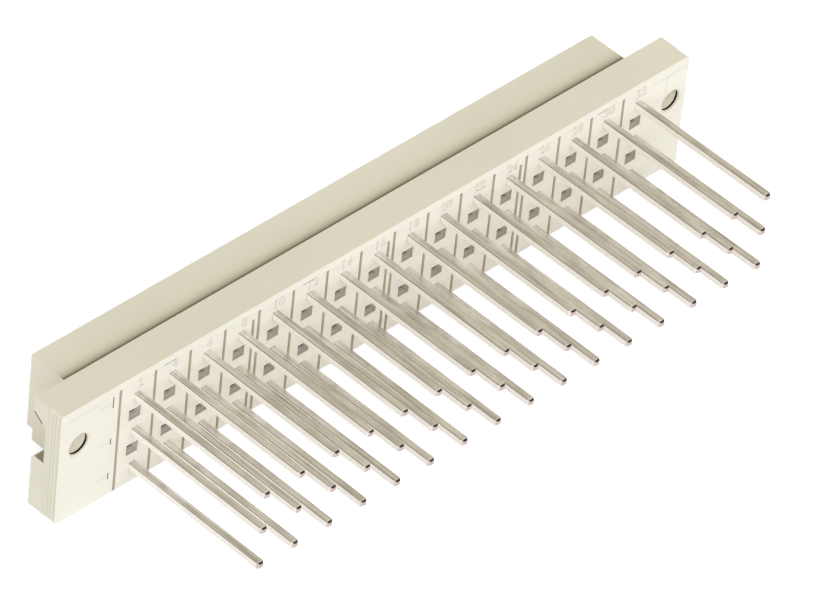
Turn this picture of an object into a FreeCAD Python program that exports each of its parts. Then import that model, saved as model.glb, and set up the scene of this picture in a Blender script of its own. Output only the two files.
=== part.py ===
import FreeCAD, Part
import os
import Sketcher
from FreeCAD import Vector

# Three-row pin connector, in millimetres.
# The origin lies midway between the two fixing holes, on the face that the posts leave.
# +X runs along the housing, +Y runs from that face towards the mating face, and +Z is across the rows.

SIZES = (
    ("column_count", 16, "contacts in a row"),
    ("row_count", 3, "rows of contacts"),
    ("column_pitch", 5.08, "spacing along a row"),
    ("row_pitch", 5.08, "spacing from row to row"),
    ("field_shift", 1.27, "contact field, beyond the midpoint of the fixing holes"),
    ("hole_rise", 2.54, "fixing holes, above the middle row"),
    ("hole_spacing", 90, "between the fixing holes"),
    ("hole_diameter", 2.8, "fixing hole"),
    ("hole_chamfer", 0.2, "edge of a fixing hole"),
    ("relief_start", 0.42, "termination face to the relief ring in a fixing hole"),
    ("relief_width", 0.25, "relief ring along the hole"),
    ("relief_depth", 0.35, "relief ring into the wall of the hole"),
    ("flange_length", 95.2, "flange from end to end"),
    ("flange_height", 15.45, "flange across the rows"),
    ("flange_drop", 0.1, "middle of the flange, below the middle row"),
    ("plate_depth", 2.1, "front plate of the flange"),
    ("flange_depth", 4.7, "whole flange"),
    ("end_inset", 0.15, "rear of the flange, set in at its ends"),
    ("plate_corner", 0.5, "corner radius of the front plate"),
    ("plate_chamfer", 0.4, "edge of the termination face"),
    ("housing_depth", 10.9, "termination face to mating face"),
    ("block_length", 85.0, "mating block along its upper part"),
    ("block_top_step", 1.1, "block top, below the flange top"),
    ("block_bottom_step", 1.0, "block bottom, above the flange bottom"),
    ("key_width", 0.9, "lower part of the block, set in at its ends"),
    ("key_height", 3.3, "height of that lower part"),
    ("block_chamfer", 0.5, "edges of the block at its mating face and lower ends"),
    ("nut_width", 5.1, "nut channel across"),
    ("nut_drop", 0.57, "middle of the nut channel, below the hole's axis"),
    ("nut_floor", 2.8, "termination face to the floor of the nut channel"),
    ("nut_reach", 2.9, "nut channel, inwards from the hole's axis"),
    ("flare_depth", 1.3, "slope above the mouth of the nut channel, along the hole"),
    ("flare_height", 0.95, "slope above the mouth of the nut channel, upwards"),
    ("nut_edge", 0.5, "broken edge below the mouth of the nut channel"),
    ("window_width", 1.7, "window along the row"),
    ("window_height", 1.5, "window across the rows"),
    ("window_depth", 1.0, "window through the face wall"),
    ("chamber_depth", 2.6, "termination face to the end of the chamber behind a window"),
    ("chamber_margin", 0.3, "chamber beyond its window, each side"),
    ("window_shift", 0.2, "window, before the centre of its column"),
    ("groove_width", 0.4, "groove between two columns"),
    ("groove_depth", 0.35, "depth of a groove"),
    ("groove_margin", 0.45, "groove end to the edge of the flange"),
    ("index_count", 3, "second grooves that mark every fourth column"),
    ("index_step", 4, "columns from one second groove to the next"),
    ("index_gap", 0.85, "second groove, before the first one"),
    ("index_margin", 1.35, "second groove end to the edge of the flange"),
    ("wall_depth", 1.6, "rear wall that carries the shoulders of the contacts"),
    ("mouth_lead", 0.3, "lead-in of a cavity, each side"),
    ("post_side", 0.9, "square wrap post"),
    ("post_edge", 0.07, "broken edges of the post"),
    ("post_length", 20.3, "post, from the termination face to its tip"),
    ("tip_length", 0.35, "pointed end of the post"),
    ("tip_side", 0.5, "end face of the post"),
    ("post_gap", 0.02, "post to its hole, each side"),
    ("contact_width", 1.2, "width of the socket strip"),
    ("contact_gap", 0.1, "socket to its cavity, each side"),
    ("barb_gap", 0.02, "barb to the wall of the cavity"),
    ("barb_length", 0.7, "barb along the contact"),
    ("base_length", 2.2, "base that joins the post and the two beams"),
    ("base_half", 0.9, "half height of the base"),
    ("beam_thickness", 0.3, "strip of a beam"),
    ("pinch_half", 0.2, "half gap between the beams where they grip"),
    ("pinch_back", 1.5, "grip, behind the beam ends"),
    ("beam_back", 0.5, "beam ends, behind the mating face"),
    ("beam_flare", 0.5, "half gap between the beam ends"),
)

doc = FreeCAD.newDocument("pin_connector")
sheet = doc.addObject("Spreadsheet::Sheet", "sizes")
for line, (alias, size, meaning) in enumerate(SIZES, start=1):
    sheet.set(f"A{line}", meaning)
    sheet.set(f"B{line}", str(size))
    sheet.setAlias(f"B{line}", alias)
doc.recompute()

# Places that more than one feature uses, as formulas of the sheet.
FIRST_COLUMN = "(sizes.field_shift - (sizes.column_count - 1) / 2 * sizes.column_pitch)"
FIRST_ROW = "(-sizes.hole_rise - (sizes.row_count - 1) / 2 * sizes.row_pitch)"
FLANGE_MIDDLE = "(-sizes.hole_rise - sizes.flange_drop)"
BLOCK_TOP = "(sizes.flange_height / 2 - sizes.block_top_step)"
BLOCK_BOTTOM = "(sizes.flange_height / 2 - sizes.block_bottom_step)"
KEY_TOP = f"({BLOCK_BOTTOM} - sizes.key_height)"


def number(formula):
    """The present value of a formula of the sheet."""
    result = sheet.evalExpression(formula)
    return float(getattr(result, "Value", result))


def origin_feature(body, role):
    """One of the body's own origin planes or axes."""
    return next(item for item in body.Origin.OriginFeatures if item.Role == role)


def sketch_on(body, name, role, **offset):
    """An empty sketch on an origin plane, moved in that plane's own axes by formulas."""
    sketch = body.newObject("Sketcher::SketchObject", name)
    sketch.AttachmentSupport = [(origin_feature(body, role), "")]
    sketch.MapMode = "FlatFace"
    for axis, formula in offset.items():
        sketch.setExpression(f"AttachmentOffset.Base.{axis}", formula)
    return sketch


def across(body, name, x="0", y="0", z="0"):
    """An empty sketch across the Y axis, with its own origin at x, y, z of the body."""
    return sketch_on(body, name, "XZ_Plane", x=x, y=z, z=f"-({y})")


def bind(sketch, constraint, formula):
    """Add a dimension and tie it to a formula."""
    index = sketch.addConstraint(constraint)
    sketch.setExpression(f"Constraints[{index}]", formula)


def closed_lines(sketch, points):
    """Straight lines through the points and back to the first, joined end to end."""
    count = len(points)
    for index, start in enumerate(points):
        end = points[(index + 1) % count]
        sketch.addGeometry(Part.LineSegment(Vector(*start, 0), Vector(*end, 0)))
    for index in range(count):
        sketch.addConstraint(Sketcher.Constraint("Coincident", index, 2, (index + 1) % count, 1))


def rectangle(sketch, width, height):
    """A rectangle about the sketch's own origin."""
    half_width = number(width) / 2
    half_height = number(height) / 2
    corners = [(-half_width, -half_height), (half_width, -half_height)]
    corners += [(half_width, half_height), (-half_width, half_height)]
    closed_lines(sketch, corners)
    for index, kind in enumerate(("Horizontal", "Vertical", "Horizontal", "Vertical")):
        sketch.addConstraint(Sketcher.Constraint(kind, index))
    sketch.addConstraint(Sketcher.Constraint("Symmetric", 0, 1, 2, 1, -1, 1))
    bind(sketch, Sketcher.Constraint("DistanceX", 0, 1, 0, 2, 2 * half_width), width)
    bind(sketch, Sketcher.Constraint("DistanceY", 1, 1, 1, 2, 2 * half_height), height)


def polygon(sketch, corners):
    """A closed outline whose corners are pairs of formulas, measured from the sketch's origin."""
    points = [(number(across_formula), number(up_formula)) for across_formula, up_formula in corners]
    closed_lines(sketch, points)
    for index, (formulas, point) in enumerate(zip(corners, points)):
        for kind, formula, value, other_axis in zip(("DistanceX", "DistanceY"), formulas, point, (-2, -1)):
            if formula == "0":
                sketch.addConstraint(Sketcher.Constraint("PointOnObject", index, 1, other_axis))
            else:
                bind(sketch, Sketcher.Constraint(kind, -1, 1, index, 1, value), formula)


def circle_pair(sketch, spacing, diameter):
    """Two equal circles on the sketch's first axis, as far apart as the spacing."""
    reach = number(spacing) / 2
    for side in (-1, 1):
        centre = Vector(side * reach, 0, 0)
        sketch.addGeometry(Part.Circle(centre, Vector(0, 0, 1), number(diameter) / 2))
    sketch.addConstraint(Sketcher.Constraint("PointOnObject", 0, 3, -1))
    sketch.addConstraint(Sketcher.Constraint("Symmetric", 0, 3, 1, 3, -1, 1))
    sketch.addConstraint(Sketcher.Constraint("Equal", 0, 1))
    bind(sketch, Sketcher.Constraint("DistanceX", 0, 3, 1, 3, 2 * reach), spacing)
    bind(sketch, Sketcher.Constraint("Diameter", 0, number(diameter)), diameter)


def step(body, kind, name, profile, length, **settings):
    """A pad or a pocket of a profile."""
    feature = body.newObject(f"PartDesign::{kind}", name)
    feature.Profile = profile
    feature.setExpression("Length", length)
    feature.Refine = kind == "Pad"
    for key, value in settings.items():
        setattr(feature, key, value)
    body.Tip = feature
    doc.recompute()
    return feature


def pattern(body, name, originals, columns, column_step, rows=None, row_step=None):
    """Copies of the features along X, and along Z where rows are given."""
    feature = body.newObject("PartDesign::LinearPattern", name)
    feature.Originals = originals
    feature.Direction = (origin_feature(body, "X_Axis"), [""])
    feature.setExpression("Length", f"({columns} - 1) * {column_step}")
    feature.setExpression("Occurrences", columns)
    if rows:
        feature.Direction2 = (origin_feature(body, "Z_Axis"), [""])
        feature.setExpression("Length2", f"({rows} - 1) * {row_step}")
        feature.setExpression("Occurrences2", rows)
    feature.Refine = False
    body.Tip = feature
    doc.recompute()
    return feature


def mirrored(body, name, originals, role):
    """The features once more, on the other side of an origin plane."""
    feature = body.newObject("PartDesign::Mirrored", name)
    feature.Originals = originals
    feature.MirrorPlane = (origin_feature(body, role), [""])
    body.Tip = feature
    doc.recompute()
    return feature


def edge_names(shape, chosen):
    """Names of the edges that a test picks."""
    return [f"Edge{index}" for index, edge in enumerate(shape.Edges, start=1) if chosen(edge)]


def dress(body, kind, name, chosen, size_name, size):
    """A fillet or a chamfer on the edges of the body that a test picks."""
    base = body.Tip
    feature = body.newObject(f"PartDesign::{kind}", name)
    feature.Base = (base, edge_names(base.Shape, chosen))
    feature.setExpression(size_name, size)
    body.Tip = feature
    doc.recompute()
    return feature


def direction(edge):
    """Unit vector of a straight edge, or None."""
    if edge.Curve.TypeId != "Part::GeomLine":
        return None
    return (edge.Vertexes[1].Point - edge.Vertexes[0].Point).normalize()


def is_along(edge, axis):
    """Whether an edge is straight and runs along an axis."""
    heading = direction(edge)
    return heading is not None and abs(heading.dot(axis)) > 0.999


def all_at(edge, measure, value):
    """Whether both ends of an edge lie at a value of some measure."""
    return all(abs(measure(vertex.Point) - value) < 0.001 for vertex in edge.Vertexes)


def make_housing():
    """The moulding: flange, mating block, holes, nut channels, cavities, windows and grooves."""
    body = doc.addObject("PartDesign::Body", "housing")
    body.Label = "housing"

    plate = across(body, "plate_outline", z=FLANGE_MIDDLE)
    rectangle(plate, "sizes.flange_length", "sizes.flange_height")
    step(body, "Pad", "front_plate", plate, "sizes.plate_depth", Reversed=True)
    dress(body, "Fillet", "plate_corners", lambda edge: is_along(edge, Vector(0, 1, 0)),
          "Radius", "sizes.plate_corner")
    dress(body, "Chamfer", "face_edge", lambda edge: all_at(edge, lambda point: point.y, 0),
          "Size", "sizes.plate_chamfer")

    rear = across(body, "rear_outline", y="sizes.plate_depth", z=FLANGE_MIDDLE)
    rectangle(rear, "sizes.flange_length - 2 * sizes.end_inset", "sizes.flange_height")
    step(body, "Pad", "rear_of_flange", rear, "sizes.flange_depth - sizes.plate_depth", Reversed=True)

    # The block's lower part is set in at both ends, so that the mating half goes on one way round.
    half_upper = "sizes.block_length / 2"
    half_lower = "(sizes.block_length / 2 - sizes.key_width)"
    corner = "sizes.block_chamfer"
    outline = across(body, "block_outline", y="sizes.flange_depth", z=FLANGE_MIDDLE)
    right_side = [
        (f"{half_lower} - {corner}", f"-{BLOCK_BOTTOM}"),
        (half_lower, f"{corner} - {BLOCK_BOTTOM}"),
        (half_lower, f"-{KEY_TOP}"),
        (half_upper, f"-{KEY_TOP}"),
        (half_upper, BLOCK_TOP),
    ]
    left_side = [(f"-({x})", z) for x, z in reversed(right_side)]
    polygon(outline, right_side + left_side)
    step(body, "Pad", "mating_block", outline, "sizes.housing_depth - sizes.flange_depth", Reversed=True)
    mating_face = number("sizes.housing_depth")
    dress(body, "Chamfer", "block_edge", lambda edge: all_at(edge, lambda point: point.y, mating_face),
          "Size", "sizes.block_chamfer / 2")

    holes = across(body, "hole_outlines")
    circle_pair(holes, "sizes.hole_spacing", "sizes.hole_diameter")
    step(body, "Pocket", "fixing_holes", holes, "sizes.flange_depth")
    hole_edges = across(body, "hole_edge_outlines")
    circle_pair(hole_edges, "sizes.hole_spacing", "sizes.hole_diameter + 2 * sizes.hole_chamfer")
    step(body, "Pocket", "hole_edges", hole_edges, "sizes.hole_chamfer", TaperAngle=-45)
    rings = across(body, "relief_outlines", y="sizes.relief_start")
    circle_pair(rings, "sizes.hole_spacing", "sizes.hole_diameter + 2 * sizes.relief_depth")
    step(body, "Pocket", "relief_rings", rings, "sizes.relief_width")

    # Each nut channel is open to the end of the flange and to the rear.
    low = "(-sizes.nut_drop - sizes.nut_width / 2)"
    high = "(sizes.nut_width / 2 - sizes.nut_drop)"
    channel = sketch_on(body, "channel_outline", "YZ_Plane", z="sizes.hole_spacing / 2 - sizes.nut_reach")
    polygon(channel, [
        ("sizes.nut_floor", low),
        ("sizes.flange_depth - sizes.nut_edge", low),
        ("sizes.flange_depth", f"{low} - sizes.nut_edge"),
        ("sizes.flange_depth", f"{high} + sizes.flare_height"),
        ("sizes.flange_depth - sizes.flare_depth", high),
        ("sizes.nut_floor", high),
    ])
    channel_length = "(sizes.flange_length - sizes.hole_spacing) / 2 + sizes.nut_reach"
    right_channel = step(body, "Pocket", "nut_channel", channel, channel_length, Reversed=True)
    mirrored(body, "nut_channels", [right_channel], "YZ_Plane")

    window_outline = across(body, "window_outline", x=f"{FIRST_COLUMN} - sizes.window_shift",
                            z=f"{FIRST_ROW} + sizes.row_pitch / 2")
    rectangle(window_outline, "sizes.window_width", "sizes.window_height")
    window = step(body, "Pocket", "window", window_outline, "sizes.window_depth")
    chamber_outline = across(body, "chamber_outline", x=f"{FIRST_COLUMN} - sizes.window_shift",
                             y="sizes.window_depth", z=f"{FIRST_ROW} + sizes.row_pitch / 2")
    rectangle(chamber_outline, "sizes.window_width + 2 * sizes.chamber_margin",
              "sizes.window_height + 2 * sizes.chamber_margin")
    chamber = step(body, "Pocket", "chamber", chamber_outline, "sizes.chamber_depth - sizes.window_depth")
    pattern(body, "windows", [window, chamber], "sizes.column_count", "sizes.column_pitch",
            "sizes.row_count - 1", "sizes.row_pitch")

    groove_outline = across(body, "groove_outline", x=f"{FIRST_COLUMN} - sizes.column_pitch / 2",
                            z=FLANGE_MIDDLE)
    rectangle(groove_outline, "sizes.groove_width", "sizes.flange_height - 2 * sizes.groove_margin")
    groove = step(body, "Pocket", "groove", groove_outline, "sizes.groove_depth")
    pattern(body, "grooves", [groove], "sizes.column_count", "sizes.column_pitch")

    index_x = f"{FIRST_COLUMN} + (sizes.index_step - 0.5) * sizes.column_pitch - sizes.index_gap"
    index_outline = across(body, "index_outline", x=index_x, z=FLANGE_MIDDLE)
    rectangle(index_outline, "sizes.groove_width", "sizes.flange_height - 2 * sizes.index_margin")
    index_groove = step(body, "Pocket", "index_groove", index_outline, "sizes.groove_depth")
    pattern(body, "index_grooves", [index_groove], "sizes.index_count",
            "sizes.index_step * sizes.column_pitch")

    cavity_width = "sizes.contact_width + 2 * sizes.contact_gap"
    cavity_height = "2 * (sizes.base_half + sizes.contact_gap)"
    cavity_outline = across(body, "cavity_outline", x=FIRST_COLUMN, y="sizes.housing_depth", z=FIRST_ROW)
    rectangle(cavity_outline, cavity_width, cavity_height)
    cavity = step(body, "Pocket", "cavity", cavity_outline, "sizes.housing_depth - sizes.wall_depth",
                  Reversed=True)
    lead_outline = across(body, "lead_outline", x=FIRST_COLUMN, y="sizes.housing_depth - sizes.mouth_lead",
                          z=FIRST_ROW)
    rectangle(lead_outline, cavity_width, cavity_height)
    lead = step(body, "Pocket", "lead_in", lead_outline, "sizes.mouth_lead", TaperAngle=45)
    exit_outline = across(body, "exit_outline", x=FIRST_COLUMN, z=FIRST_ROW)
    rectangle(exit_outline, "sizes.post_side + 2 * sizes.post_gap", "sizes.post_side + 2 * sizes.post_gap")
    post_exit = step(body, "Pocket", "post_exit", exit_outline, "sizes.wall_depth")
    pattern(body, "cavities", [cavity, lead, post_exit], "sizes.column_count", "sizes.column_pitch",
            "sizes.row_count", "sizes.row_pitch")
    return body


def make_contact(name):
    """One contact: a socket of two beams, its base with barbs, and the square post with a pointed end."""
    body = doc.addObject("PartDesign::Body", name)
    body.Label = name

    # The upper half of the socket, seen from the side: base, beam, grip and flared end.
    base_end = "(sizes.wall_depth + sizes.base_length)"
    beam_end = "(sizes.housing_depth - sizes.beam_back)"
    grip = f"({beam_end} - sizes.pinch_back)"
    profile = sketch_on(body, f"{name}_profile", "YZ_Plane")
    polygon(profile, [
        ("sizes.wall_depth", "0"),
        ("sizes.wall_depth", "sizes.base_half"),
        (base_end, "sizes.base_half"),
        (grip, "sizes.pinch_half + sizes.beam_thickness"),
        (beam_end, "sizes.beam_flare + sizes.beam_thickness"),
        (beam_end, "sizes.beam_flare"),
        (grip, "sizes.pinch_half"),
        (base_end, "sizes.base_half - sizes.beam_thickness"),
        (base_end, "0"),
    ])
    half = step(body, "Pad", f"{name}_half", profile, "sizes.contact_width", SideType="Symmetric")
    mirrored(body, f"{name}_socket", [half], "XY_Plane")

    # A barb on each side of the base, with its steep end towards the mating face.
    half_width = "sizes.contact_width / 2"
    barb_end = f"({base_end} - sizes.barb_length)"
    barb_outline = sketch_on(body, f"{name}_barb_outline", "XY_Plane")
    polygon(barb_outline, [
        (half_width, f"{barb_end} - sizes.barb_length"),
        (f"{half_width} + sizes.contact_gap - sizes.barb_gap", barb_end),
        (half_width, barb_end),
    ])
    barb = step(body, "Pad", f"{name}_barb", barb_outline, "sizes.base_half", SideType="Symmetric")
    mirrored(body, f"{name}_barbs", [barb], "YZ_Plane")

    square = across(body, f"{name}_square", y="sizes.wall_depth")
    rectangle(square, "sizes.post_side", "sizes.post_side")
    step(body, "Pad", f"{name}_post", square, "sizes.wall_depth + sizes.post_length")
    tip_y = -number("sizes.post_length")

    def is_post_edge(edge):
        reaches_tip = any(abs(vertex.Point.y - tip_y) < 0.001 for vertex in edge.Vertexes)
        return reaches_tip and is_along(edge, Vector(0, 1, 0))

    dress(body, "Chamfer", f"{name}_post_edges", is_post_edge, "Size", "sizes.post_edge")

    # The pointed end: a wedge comes off each of the four sides.
    half_side = "sizes.post_side / 2"
    wedge = [
        (half_side, "sizes.tip_length - sizes.post_length"),
        (half_side, "-sizes.post_length"),
        ("sizes.tip_side / 2", "-sizes.post_length"),
    ]
    for facing, plane, mirror_plane in (("side", "XY_Plane", "YZ_Plane"), ("top", "YZ_Plane", "XY_Plane")):
        outline = sketch_on(body, f"{name}_{facing}_wedge", plane)
        polygon(outline, wedge if facing == "side" else [corner[::-1] for corner in wedge])
        cut = step(body, "Pocket", f"{name}_{facing}_cut", outline, "sizes.post_side", SideType="Symmetric")
        mirrored(body, f"{name}_{facing}_cuts", [cut], mirror_plane)
    return body


def same_again(name, original):
    """Another piece of the same form: a body of its own that starts from the original's solid."""
    body = doc.addObject("PartDesign::Body", name)
    body.Label = name
    copy = body.newObject("PartDesign::FeatureBase", f"{name}_form")
    copy.BaseFeature = original
    body.Tip = copy
    return body


def seat_contact(body, row, column):
    """Put a contact at its place in the field."""
    body.setExpression("Placement.Base.x", f"{FIRST_COLUMN} + {column} * sizes.column_pitch")
    body.setExpression("Placement.Base.z", f"{FIRST_ROW} + {row} * sizes.row_pitch")


def check(parts):
    """Stop where an object failed or a sub-part has no valid single solid."""
    for item in doc.Objects:
        if "Invalid" in item.State or "Error" in item.State:
            raise RuntimeError(f"{item.Label} failed: {item.State}")
    for item in parts:
        if item.Shape.isNull() or not item.Shape.isValid() or len(item.Shape.Solids) != 1:
            raise RuntimeError(f"{item.Label} has no valid solid")


contacts = []
for row_index in range(int(number("sizes.row_count"))):
    for column_index in range(int(number("sizes.column_count"))):
        contact_name = f"contact_row{row_index + 1}_{column_index + 1:02d}"
        contact = same_again(contact_name, contacts[0]) if contacts else make_contact(contact_name)
        seat_contact(contact, row_index, column_index)
        contacts.append(contact)
pieces = [make_housing()] + contacts
doc.recompute()
check(pieces)

os.makedirs("parts", exist_ok=True)
for piece in pieces:
    piece.Shape.exportStep(f"parts/{piece.Label}.step")
    print(piece.Label, "volume", round(piece.Shape.Volume, 3), "mm3")
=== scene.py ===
import math

import bpy
from mathutils import Matrix, Vector


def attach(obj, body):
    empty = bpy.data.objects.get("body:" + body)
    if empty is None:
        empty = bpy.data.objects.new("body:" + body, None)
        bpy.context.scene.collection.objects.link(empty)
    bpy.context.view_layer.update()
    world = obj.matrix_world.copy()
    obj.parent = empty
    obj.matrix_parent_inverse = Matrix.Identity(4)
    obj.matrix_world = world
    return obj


MM = 0.001
HOUSING = "housing"

# Places on the part, in millimetres.
COLUMNS = 16
PITCH = 5.08
FIRST_COLUMN = -36.83
FACE_Y = 0.0
FLANGE_DEPTH = 4.7
BLOCK_TOP = 3.985
LOWER_EDGE = -10.365
PLATE_END = 47.6
REAR_END = PLATE_END - 0.15
HOLE_X = 45
CUT_FROM = 20.08

# Where painted shade and painted light change the moulding's colour, in millimetres: spans along the
# axes, with the reach of some and the places of the ribs. Some spans start just off a surface or end
# past it.
HOLE_REACH = 1.9
RING_SPAN = ("Y", 0.41, 0.68)
BORE_SPAN = ("Y", 0.7, FLANGE_DEPTH)
CHANNEL_X = (42.2, PLATE_END)
CHANNEL_WALL = (("Y", 2.7, 4.25), ("Z", -3.2, -3.05))
GROOVES = (("X", -42, 42), ("Y", 0.01, 0.36), ("Z", -9.95, 4.66))
CHAMBERS = (("X", -41, 41), ("Y", 1.02, 2.62), ("Z", -8.9, 3.9))
BLOCK_UPPER_SIDE = (("Y", FLANGE_DEPTH + 0.01, 12), ("Z", BLOCK_TOP - 0.01, 6))
FLANGE_SHADOW_REACH = 3
CORNER_REACH = 1.2
RIB_X = (PLATE_END - 0.1, PLATE_END + 1)
END_RIBS = (0.5, 1.1, 1.55)
RIB_WIDTH = 0.12

# Fine marks of painted shade, in millimetres: slots before the first column, one by each row, slots
# above three of the columns, and a painted shadow along the sloped upper edge of each nut channel's
# mouth, as places in Y and Z.
MARK_LIFT = 0.01
ROW_SLOT_X = (-40.47, -40.3)
ROW_SLOTS_Z = ((2.66, 4.26), (-2.64, -1.74), (-7.64, -6.74))
DASHES_X = (-32.25, -11.8, 33.55)
DASH_HALF = 0.9
DASH_Z = (4.56, 4.64)
CHANNEL_EDGE = ((3.4, 2.0), (4.68, 2.93), (4.56, 3.1), (3.28, 2.17))

# Steps, as short lines of painted shade: below the long edge of the face, one before the right hole,
# and one by each row. An edge step is its low X and Z, and its high X and Z.
EDGE_STEPS = ((41.2, 4.2, 47.1, 4.26), (43.86, 1.53, 43.93, 4.3), (-47.1, 4.2, -42.2, 4.26))
ROW_STEP_X = (-42.3, -40.6)
ROW_STEPS_Z = (3.4, -2.2, -7.2)
ROW_STEP_WIDTH = 0.07

# Raised column numbers, in millimetres.
NUMBER_SIZE = 1.75
NUMBER_EXTRUDE = 0.05
NUMBER_BEVEL = 0.012
NUMBER_SHIFT = 0.3
NUMBER_Y = FACE_Y - 0.03
NUMBER_Z = 4.05

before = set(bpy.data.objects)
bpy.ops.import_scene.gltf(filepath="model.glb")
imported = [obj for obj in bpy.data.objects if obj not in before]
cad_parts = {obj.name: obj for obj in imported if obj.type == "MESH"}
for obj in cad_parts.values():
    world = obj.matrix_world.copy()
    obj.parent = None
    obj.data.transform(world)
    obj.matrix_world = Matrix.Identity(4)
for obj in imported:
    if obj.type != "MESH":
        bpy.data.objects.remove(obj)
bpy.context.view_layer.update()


def linear(r, g, b):
    """A colour given as screen values from 0 to 255, as a linear colour."""
    def one(value):
        value /= 255
        return value / 12.92 if value <= 0.04045 else ((value + 0.055) / 1.055) ** 2.4
    return (one(r), one(g), one(b), 1.0)


WHITE = linear(255, 255, 255)

# Painted shade: what the moulding's colour is multiplied by.
CORNER_TONES = ((0.05, linear(234, 228, 221)), (0.3, linear(247, 244, 240)), (0.6, WHITE))
# Painted shadow that the flange casts on the upper side of the block.
FLANGE_SHADOW_TONES = ((0.3, linear(122, 118, 112)), (0.36, linear(168, 164, 157)),
              (0.43, linear(217, 214, 209)), (0.62, linear(246, 245, 243)), (0.85, WHITE))
GROOVE_TONE = linear(233, 229, 224)
CHAMBER_TONE = linear(180, 168, 160)
RING_TONE = linear(72, 66, 60)
CHANNEL_TONE = linear(172, 163, 152)
RIB_TONE = linear(237, 233, 224)
# Painted light inside the fixing holes: the colour that is mixed in, and its share.
BORE_PAINTED_LIGHT = linear(255, 251, 234)
BORE_LIGHT_SHARE = 0.6

# The plated strip: patches, drawing streaks, stamped sides with a painted reflection, broken edges
# with a painted highlight and painted shade, and cut tips.
PATCH_COLOURS = ((0.3, linear(221, 217, 210)), (0.7, linear(253, 250, 244)))
STREAK_TONES = ((0.36, linear(212, 208, 203)), (0.5, linear(243, 242, 240)), (0.62, WHITE))
STAMPED_PAINTED_REFLECTION = linear(255, 249, 236)
PAINTED_EDGE_SHADE = linear(172, 164, 152)
PAINTED_EDGE_HIGHLIGHT = linear(255, 251, 238)
TIP_TOP = linear(62, 52, 50)
TIP_SIDE = linear(206, 190, 178)
TIP_END = linear(198, 178, 166)
METAL_SHARE = 0.62
TIP_ROUGHNESS = 0.42
STAMPED_ROUGHNESS = 0.45
# The least share of a normal along an axis: for a face square to it, for a broken edge between
# two axes, and for the tip's upper bevel.
FLAT_ON = 0.9
SLANTED = 0.5
UPWARD = 0.3


class Nodes:
    """A short way to put shader nodes together."""

    def __init__(self, name):
        self.material = bpy.data.materials.new(name)
        self.material.use_nodes = True
        self.tree = self.material.node_tree
        self.tree.nodes.clear()

    def add(self, kind, **settings):
        """A new node with its settings."""
        node = self.tree.nodes.new(kind)
        for key, value in settings.items():
            setattr(node, key, value)
        return node

    def link(self, start, end):
        """One socket joined to another."""
        self.tree.links.new(start, end)

    def noise(self, scale, detail=3.0, roughness=0.5, stretch=(1, 1, 1)):
        """A noise in the object's own coordinates."""
        place = self.add("ShaderNodeTexCoord")
        mapping = self.add("ShaderNodeMapping")
        mapping.inputs["Scale"].default_value = stretch
        noise = self.add("ShaderNodeTexNoise")
        noise.inputs["Scale"].default_value = scale
        noise.inputs["Detail"].default_value = detail
        noise.inputs["Roughness"].default_value = roughness
        self.link(place.outputs["Object"], mapping.inputs["Vector"])
        self.link(mapping.outputs["Vector"], noise.inputs["Vector"])
        return noise.outputs["Fac"]

    def ramp(self, factor, stops):
        """Colours along a factor."""
        ramp = self.add("ShaderNodeValToRGB")
        elements = ramp.color_ramp.elements
        while len(elements) < len(stops):
            elements.new(0.5)
        for element, (position, colour) in zip(elements, stops):
            element.position = position
            element.color = colour
        self.link(factor, ramp.inputs["Fac"])
        return ramp.outputs["Color"]

    def spread(self, factor, low, high, start=0.3, end=0.7):
        """A factor turned into values from low to high."""
        spread = self.add("ShaderNodeMapRange")
        spread.inputs["From Min"].default_value = start
        spread.inputs["From Max"].default_value = end
        spread.inputs["To Min"].default_value = low
        spread.inputs["To Max"].default_value = high
        self.link(factor, spread.inputs["Value"])
        return spread.outputs["Result"]

    def bump(self, height, strength, distance, below=None):
        """A bumped normal, over another one if that is given."""
        bump = self.add("ShaderNodeBump")
        bump.inputs["Strength"].default_value = strength
        bump.inputs["Distance"].default_value = distance
        self.link(height, bump.inputs["Height"])
        if below is not None:
            self.link(below, bump.inputs["Normal"])
        return bump.outputs["Normal"]

    def mix(self, kind, factor, first, second):
        """Two colours put together; the factor is a number or a socket."""
        mix = self.add("ShaderNodeMix", data_type="RGBA", blend_type=kind)
        if isinstance(factor, (int, float)):
            mix.inputs["Factor"].default_value = factor
        else:
            self.link(factor, mix.inputs["Factor"])
        for socket, colour in (("A", first), ("B", second)):
            if isinstance(colour, tuple):
                mix.inputs[socket].default_value = colour
            else:
                self.link(colour, mix.inputs[socket])
        return mix.outputs["Result"]

    def place(self, axis):
        """Where a point lies along an axis of the piece, in metres."""
        coordinates = self.add("ShaderNodeTexCoord")
        parts = self.add("ShaderNodeSeparateXYZ")
        self.link(coordinates.outputs["Object"], parts.inputs["Vector"])
        return parts.outputs[axis]

    def math(self, kind, first, second):
        """A calculation with a socket and a number or a second socket."""
        node = self.add("ShaderNodeMath", operation=kind)
        self.link(first, node.inputs[0])
        if isinstance(second, (int, float)):
            node.inputs[1].default_value = second
        else:
            self.link(second, node.inputs[1])
        return node.outputs["Value"]

    def within(self, *spans):
        """One where a point lies inside every span (axis, low, high in millimetres), else nought."""
        inside = None
        for axis, low, high in spans:
            place = self.place(axis)
            both = self.math("MULTIPLY", self.math("GREATER_THAN", place, low * MM),
                             self.math("LESS_THAN", place, high * MM))
            inside = both if inside is None else self.math("MULTIPLY", inside, both)
        return inside

    def finish(self, shader):
        """The material, with the shader as its surface."""
        output = self.add("ShaderNodeOutputMaterial")
        self.link(shader, output.inputs["Surface"])
        return self.material


def flow_marks(n, middle, spread_by):
    """The moulding's own colour, a little lighter and darker where the plastic flowed."""
    flow = n.noise(70, 4, 0.55, stretch=(0.5, 1, 1.4))
    low = linear(*(value - spread_by for value in middle))
    high = linear(*(min(value + spread_by, 255) for value in middle))
    return n.ramp(flow, ((0.3, low), (0.5, linear(*middle)), (0.7, high)))


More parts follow.
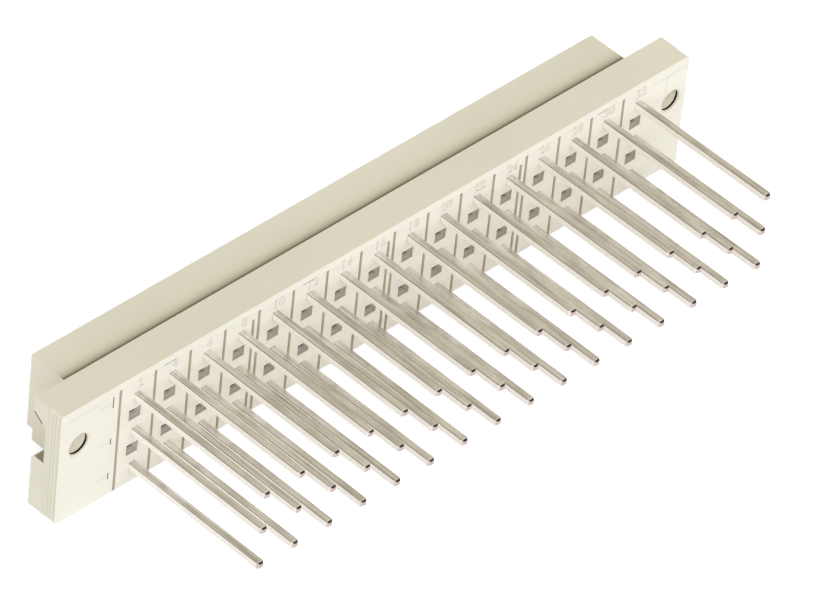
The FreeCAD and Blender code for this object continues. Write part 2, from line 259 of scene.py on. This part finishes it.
def painted_corner_shade(n):
    """Painted shade: darker in corners, by an ambient-occlusion node. The grooves are shallow enough
    to stay light, so they take a fixed, faint painted shade instead.
    """
    corners = n.add("ShaderNodeAmbientOcclusion", samples=8)
    corners.inputs["Distance"].default_value = CORNER_REACH * MM
    tone = n.ramp(corners.outputs["AO"], CORNER_TONES)
    return n.mix("MIX", n.within(*GROOVES), tone, GROOVE_TONE)


def on_side(side, reach):
    """A reach outwards from the middle, as a span along X on the left (-1) or the right (1)."""
    return ("X", *sorted(side * x for x in reach))


def shade_and_light_fixing_hole(n, colour, side):
    """Painted shade in the relief ring and on the lower wall of the nut channel, and painted light in
    the bore, at one end.
    """
    across = [(axis, middle - HOLE_REACH, middle + HOLE_REACH)
              for axis, middle in (("X", side * HOLE_X), ("Z", 0))]
    # Painted shade in the relief ring.
    colour = n.mix("MULTIPLY", n.within(RING_SPAN, *across), colour, RING_TONE)
    # Painted shade on the lower wall of the nut channel.
    channel_wall = n.within(on_side(side, CHANNEL_X), *CHANNEL_WALL)
    colour = n.mix("MULTIPLY", channel_wall, colour, CHANNEL_TONE)
    # Painted light in the bore.
    bore = n.math("MULTIPLY", n.within(BORE_SPAN, *across), BORE_LIGHT_SHARE)
    return n.mix("MIX", bore, colour, BORE_PAINTED_LIGHT)


def paint_flange_shadow(n, colour):
    """Painted shadow of the flange on the upper side of the block, darker towards the flange."""
    flange_shadow_end = FLANGE_DEPTH + FLANGE_SHADOW_REACH
    behind_flange = n.spread(n.place("Y"), 0, 1, FLANGE_DEPTH * MM, flange_shadow_end * MM)
    flange_shadow = n.ramp(behind_flange, FLANGE_SHADOW_TONES)
    return n.mix("MULTIPLY", n.within(*BLOCK_UPPER_SIDE), colour, flange_shadow)


def shade_end_ribs(n, colour):
    """Painted shade lines that stand for fine ribs around the ends of the front plate."""
    for rib_start in END_RIBS:
        for side in (-1, 1):
            rib = n.within(on_side(side, RIB_X), ("Y", rib_start, rib_start + RIB_WIDTH))
            colour = n.mix("MULTIPLY", rib, colour, RIB_TONE)
    return colour


def moulding(name, middle, spread_by=4):
    """Cream thermoplastic with a fine spark-eroded grain, painted shade in corners, grooves, chambers,
    relief rings, nut channels, behind the flange and along the end ribs, and painted light in the
    bores.
    """
    n = Nodes(name)
    shader = n.add("ShaderNodeBsdfPrincipled")
    shader.inputs["IOR"].default_value = 1.5
    shader.inputs["Specular IOR Level"].default_value = 0.35
    # Painted shade in corners and grooves.
    colour = n.mix("MULTIPLY", 1.0, flow_marks(n, middle, spread_by), painted_corner_shade(n))
    # Painted shade in the chambers behind the windows.
    colour = n.mix("MULTIPLY", n.within(*CHAMBERS), colour, CHAMBER_TONE)
    # Painted shade and painted light at the fixing holes.
    for side in (-1, 1):
        colour = shade_and_light_fixing_hole(n, colour, side)
    # Painted shadow of the flange on the block.
    colour = paint_flange_shadow(n, colour)
    # Painted shade lines along the end ribs.
    n.link(shade_end_ribs(n, colour), shader.inputs["Base Color"])
    n.link(n.spread(n.noise(900, 3), 0.46, 0.6), shader.inputs["Roughness"])
    coarse = n.bump(n.noise(650, 2, 0.5), 0.05, 0.05 * MM)
    n.link(n.bump(n.noise(9000, 2, 0.6), 0.1, 0.02 * MM, coarse), shader.inputs["Normal"])
    return n.finish(shader.outputs["BSDF"])


def plated(name):
    """Plated copper-alloy strip: drawn lengthwise, with bare copper where the pointed end was cut, a
    painted reflection on the stamped sides, and a painted highlight and painted shade on the broken
    edges.
    """
    n = Nodes(name)
    shader = n.add("ShaderNodeBsdfPrincipled")
    facing = n.add("ShaderNodeNewGeometry")
    normal = n.add("ShaderNodeSeparateXYZ")
    n.link(facing.outputs["True Normal"], normal.inputs["Vector"])
    to_side = n.math("ABSOLUTE", normal.outputs["X"], 0)
    to_top = n.math("ABSOLUTE", normal.outputs["Z"], 0)

    drawn = n.noise(700, 4, 0.6, stretch=(4, 0.12, 4))
    patches = n.ramp(n.noise(260, 3, 0.5), PATCH_COLOURS)
    colour = n.mix("MULTIPLY", 1.0, patches, n.ramp(drawn, STREAK_TONES))
    # The stamped sides are dull, with a light colour as a painted reflection. Of the broken edges,
    # those facing +X get a painted highlight and those facing -X painted shade.
    stamped = n.math("GREATER_THAN", to_side, FLAT_ON)
    # Painted reflection: the stamped sides take a near-white colour.
    colour = n.mix("MIX", stamped, colour, STAMPED_PAINTED_REFLECTION)
    # A painted highlight on the broken edges facing +X, and painted shade on those facing -X.
    edge = n.mix("MIX", n.math("GREATER_THAN", normal.outputs["X"], 0), PAINTED_EDGE_SHADE, PAINTED_EDGE_HIGHLIGHT)
    on_edge = n.math("MULTIPLY", n.math("GREATER_THAN", to_side, SLANTED),
                     n.math("GREATER_THAN", to_top, SLANTED))
    colour = n.mix("MIX", on_edge, colour, edge)

    faces_up = n.math("GREATER_THAN", normal.outputs["Z"], UPWARD)
    bevel = n.mix("MIX", faces_up, TIP_SIDE, TIP_TOP)
    end_face = n.math("LESS_THAN", normal.outputs["Y"], -FLAT_ON)
    tip = n.mix("MIX", end_face, bevel, TIP_END)
    is_tip = n.math("LESS_THAN", n.place("Y"), -CUT_FROM * MM)
    n.link(n.mix("MIX", is_tip, colour, tip), shader.inputs["Base Color"])

    dull = n.math("MAXIMUM", n.math("MULTIPLY", is_tip, TIP_ROUGHNESS),
                  n.math("MULTIPLY", stamped, STAMPED_ROUGHNESS))
    n.link(n.math("MAXIMUM", n.spread(drawn, 0.1, 0.2), dull), shader.inputs["Roughness"])
    metallic = n.math("ADD", n.math("MULTIPLY", stamped, -METAL_SHARE), METAL_SHARE)
    n.link(metallic, shader.inputs["Metallic"])
    n.link(n.bump(drawn, 0.12, 0.02 * MM), shader.inputs["Normal"])
    return n.finish(shader.outputs["BSDF"])


def studio_white(name, strength):
    """A floor that takes soft shadows and shows as white to the camera and in reflections."""
    n = Nodes(name)
    path = n.add("ShaderNodeLightPath")
    diffuse = n.add("ShaderNodeBsdfDiffuse")
    diffuse.inputs["Color"].default_value = (0.86, 0.86, 0.86, 1)
    glow = n.add("ShaderNodeEmission")
    glow.inputs["Color"].default_value = (0.98, 0.98, 1.1, 1)
    glow.inputs["Strength"].default_value = strength
    both = n.add("ShaderNodeAddShader")
    n.link(diffuse.outputs["BSDF"], both.inputs[0])
    n.link(glow.outputs["Emission"], both.inputs[1])
    seen = n.math("MAXIMUM", path.outputs["Is Camera Ray"], path.outputs["Is Glossy Ray"])
    mix = n.add("ShaderNodeMixShader")
    n.link(seen, mix.inputs["Fac"])
    n.link(diffuse.outputs["BSDF"], mix.inputs[1])
    n.link(both.outputs["Shader"], mix.inputs[2])
    return n.finish(mix.outputs["Shader"])


def ride_on_root(name, mesh, material):
    """A piece of the housing's dress, made of one material."""
    piece = bpy.data.objects.new(name, mesh)
    bpy.context.scene.collection.objects.link(piece)
    mesh.materials.clear()
    mesh.materials.append(material)
    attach(piece, "root")


def column_number(index, material):
    """The even number above the top post of a column, raised from the termination face."""
    name = f"number_{index + 1:02d}"
    text = bpy.data.curves.new(name, "FONT")
    text.body = str(2 * (index + 1))
    text.size = NUMBER_SIZE * MM
    text.extrude = NUMBER_EXTRUDE * MM
    text.bevel_depth = NUMBER_BEVEL * MM
    text.space_character = 1.05
    text.align_x = "CENTER"
    text.align_y = "CENTER"
    holder = bpy.data.objects.new(name, text)
    bpy.context.scene.collection.objects.link(holder)
    # Text lies in XY and faces +Z: turned to stand in XZ and face -Y.
    holder.rotation_euler = (math.radians(90), 0, 0)
    x = FIRST_COLUMN + index * PITCH + NUMBER_SHIFT
    holder.location = (x * MM, NUMBER_Y * MM, NUMBER_Z * MM)
    bpy.context.view_layer.update()
    evaluated = holder.evaluated_get(bpy.context.evaluated_depsgraph_get())
    mesh = bpy.data.meshes.new_from_object(evaluated)
    mesh.transform(holder.matrix_world)
    bpy.data.objects.remove(holder)
    ride_on_root(name, mesh, material)


def shadow_strips(name, strips, material):
    """Thin flat strips of painted shade that stand for moulded steps and slots too fine to have their
    own form.
    """
    points = []
    faces = []
    for corners in strips:
        faces.append(tuple(range(len(points), len(points) + len(corners))))
        points += [tuple(value * MM for value in corner) for corner in corners]
    mesh = bpy.data.meshes.new(name)
    mesh.from_pydata(points, [], faces)
    ride_on_root(name, mesh, material)


def on_face(x_low, z_low, x_high, z_high):
    """A strip just in front of the termination face."""
    y = FACE_Y - MARK_LIFT
    return [(x_low, y, z_low), (x_high, y, z_low), (x_high, y, z_high), (x_low, y, z_high)]


def fine_marks():
    """Painted shade for the slots and steps of the termination face, and a painted shadow along the
    upper edge of each nut channel's mouth.
    """
    left, right = ROW_SLOT_X
    slots = [on_face(left, low, right, high) for low, high in ROW_SLOTS_Z]
    bottom, top = DASH_Z
    slots += [on_face(x - DASH_HALF, bottom, x + DASH_HALF, top) for x in DASHES_X]
    # A painted shadow along the upper edge of each nut channel's mouth.
    for side in (-1, 1):
        x = side * (REAR_END + MARK_LIFT)
        slots.append([(x, y, z) for y, z in CHANNEL_EDGE])
    shadow_strips("slots", slots, moulding("slot_shade", (128, 119, 106), 6))
    steps = [on_face(*corners) for corners in EDGE_STEPS]
    left, right = ROW_STEP_X
    steps += [on_face(left, z, right, z + ROW_STEP_WIDTH) for z in ROW_STEPS_Z]
    shadow_strips("steps", steps, moulding("step_shade", (216, 208, 190)))


def look_at_photo():
    """The camera that the fit of the photograph gives."""
    right = Vector((0.71485, -0.69442, 0.08228))
    up = Vector((0.41866, 0.51926, 0.74504))
    back = Vector((-0.5601, -0.49815, 0.66192))
    place = Vector((-0.51405, -0.46169, 0.60602))
    data = bpy.data.cameras.new("camera")
    data.sensor_fit = "HORIZONTAL"
    data.sensor_width = 36.0
    data.lens = 368.8
    data.clip_start = 0.05
    data.clip_end = 20
    camera = bpy.data.objects.new("camera", data)
    bpy.context.scene.collection.objects.link(camera)
    turn = Matrix((right, up, back)).transposed().to_4x4()
    camera.matrix_world = Matrix.Translation(place) @ turn
    bpy.context.scene.camera = camera


def soft_light(name, place, target, size, power, tint):
    """A large area light that faces a point."""
    data = bpy.data.lights.new(name, "AREA")
    data.shape = "RECTANGLE"
    data.size, data.size_y = size
    data.energy = power
    data.color = tint
    lamp = bpy.data.objects.new(name, data)
    bpy.context.scene.collection.objects.link(lamp)
    lamp.location = place
    lamp.rotation_euler = (Vector(target) - Vector(place)).to_track_quat("-Z", "Y").to_euler()


def lay_floor():
    """A wide white floor just below the part."""
    half = 3.0
    z = (LOWER_EDGE - 0.01) * MM
    corners = [(-half, -half, z), (half, -half, z), (half, half, z), (-half, half, z)]
    mesh = bpy.data.meshes.new("floor")
    mesh.from_pydata(corners, [], [(0, 1, 2, 3)])
    mesh.materials.append(studio_white("floor_white", 0.55))
    floor = bpy.data.objects.new("floor", mesh)
    bpy.context.scene.collection.objects.link(floor)


def light_tent():
    """A world like a light tent: bright and cool towards the termination face, dim and warm behind."""
    world = bpy.data.worlds.new("studio")
    bpy.context.scene.world = world
    world.use_nodes = True
    tree = world.node_tree
    place = tree.nodes.new("ShaderNodeTexCoord")
    towards_front = tree.nodes.new("ShaderNodeVectorMath")
    towards_front.operation = "DOT_PRODUCT"
    towards_front.inputs[1].default_value = (-0.43, -0.9, 0.0)
    tent = tree.nodes.new("ShaderNodeValToRGB")
    background = tree.nodes["Background"]
    tree.links.new(place.outputs["Generated"], towards_front.inputs[0])
    tree.links.new(towards_front.outputs["Value"], tent.inputs["Fac"])
    tree.links.new(tent.outputs["Color"], background.inputs["Color"])
    behind, front = tent.color_ramp.elements
    behind.position, behind.color = 0.0, (0.36, 0.338, 0.252, 1)
    front.position, front.color = 1.0, (0.975, 1.01, 1.24, 1)
    background.inputs["Strength"].default_value = 1.6


cream = moulding("cream_moulding", (241, 237, 217))
ink = moulding("raised_mark", (231, 225, 208))
metal = plated("plated_strip")
for node_name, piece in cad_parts.items():
    piece.data.materials.clear()
    piece.data.materials.append(cream if node_name == HOUSING else metal)
    for polygon in piece.data.polygons:
        polygon.use_smooth = False

for column in range(COLUMNS):
    column_number(column, ink)
fine_marks()

look_at_photo()
lay_floor()
light_tent()
soft_light("front", (-0.5, -2.4, 0.8), (0, 0, 0), (2.4, 1.6), 8.3, (1.0, 0.995, 1.04))

scene = bpy.context.scene
scene.view_settings.view_transform = "Standard"
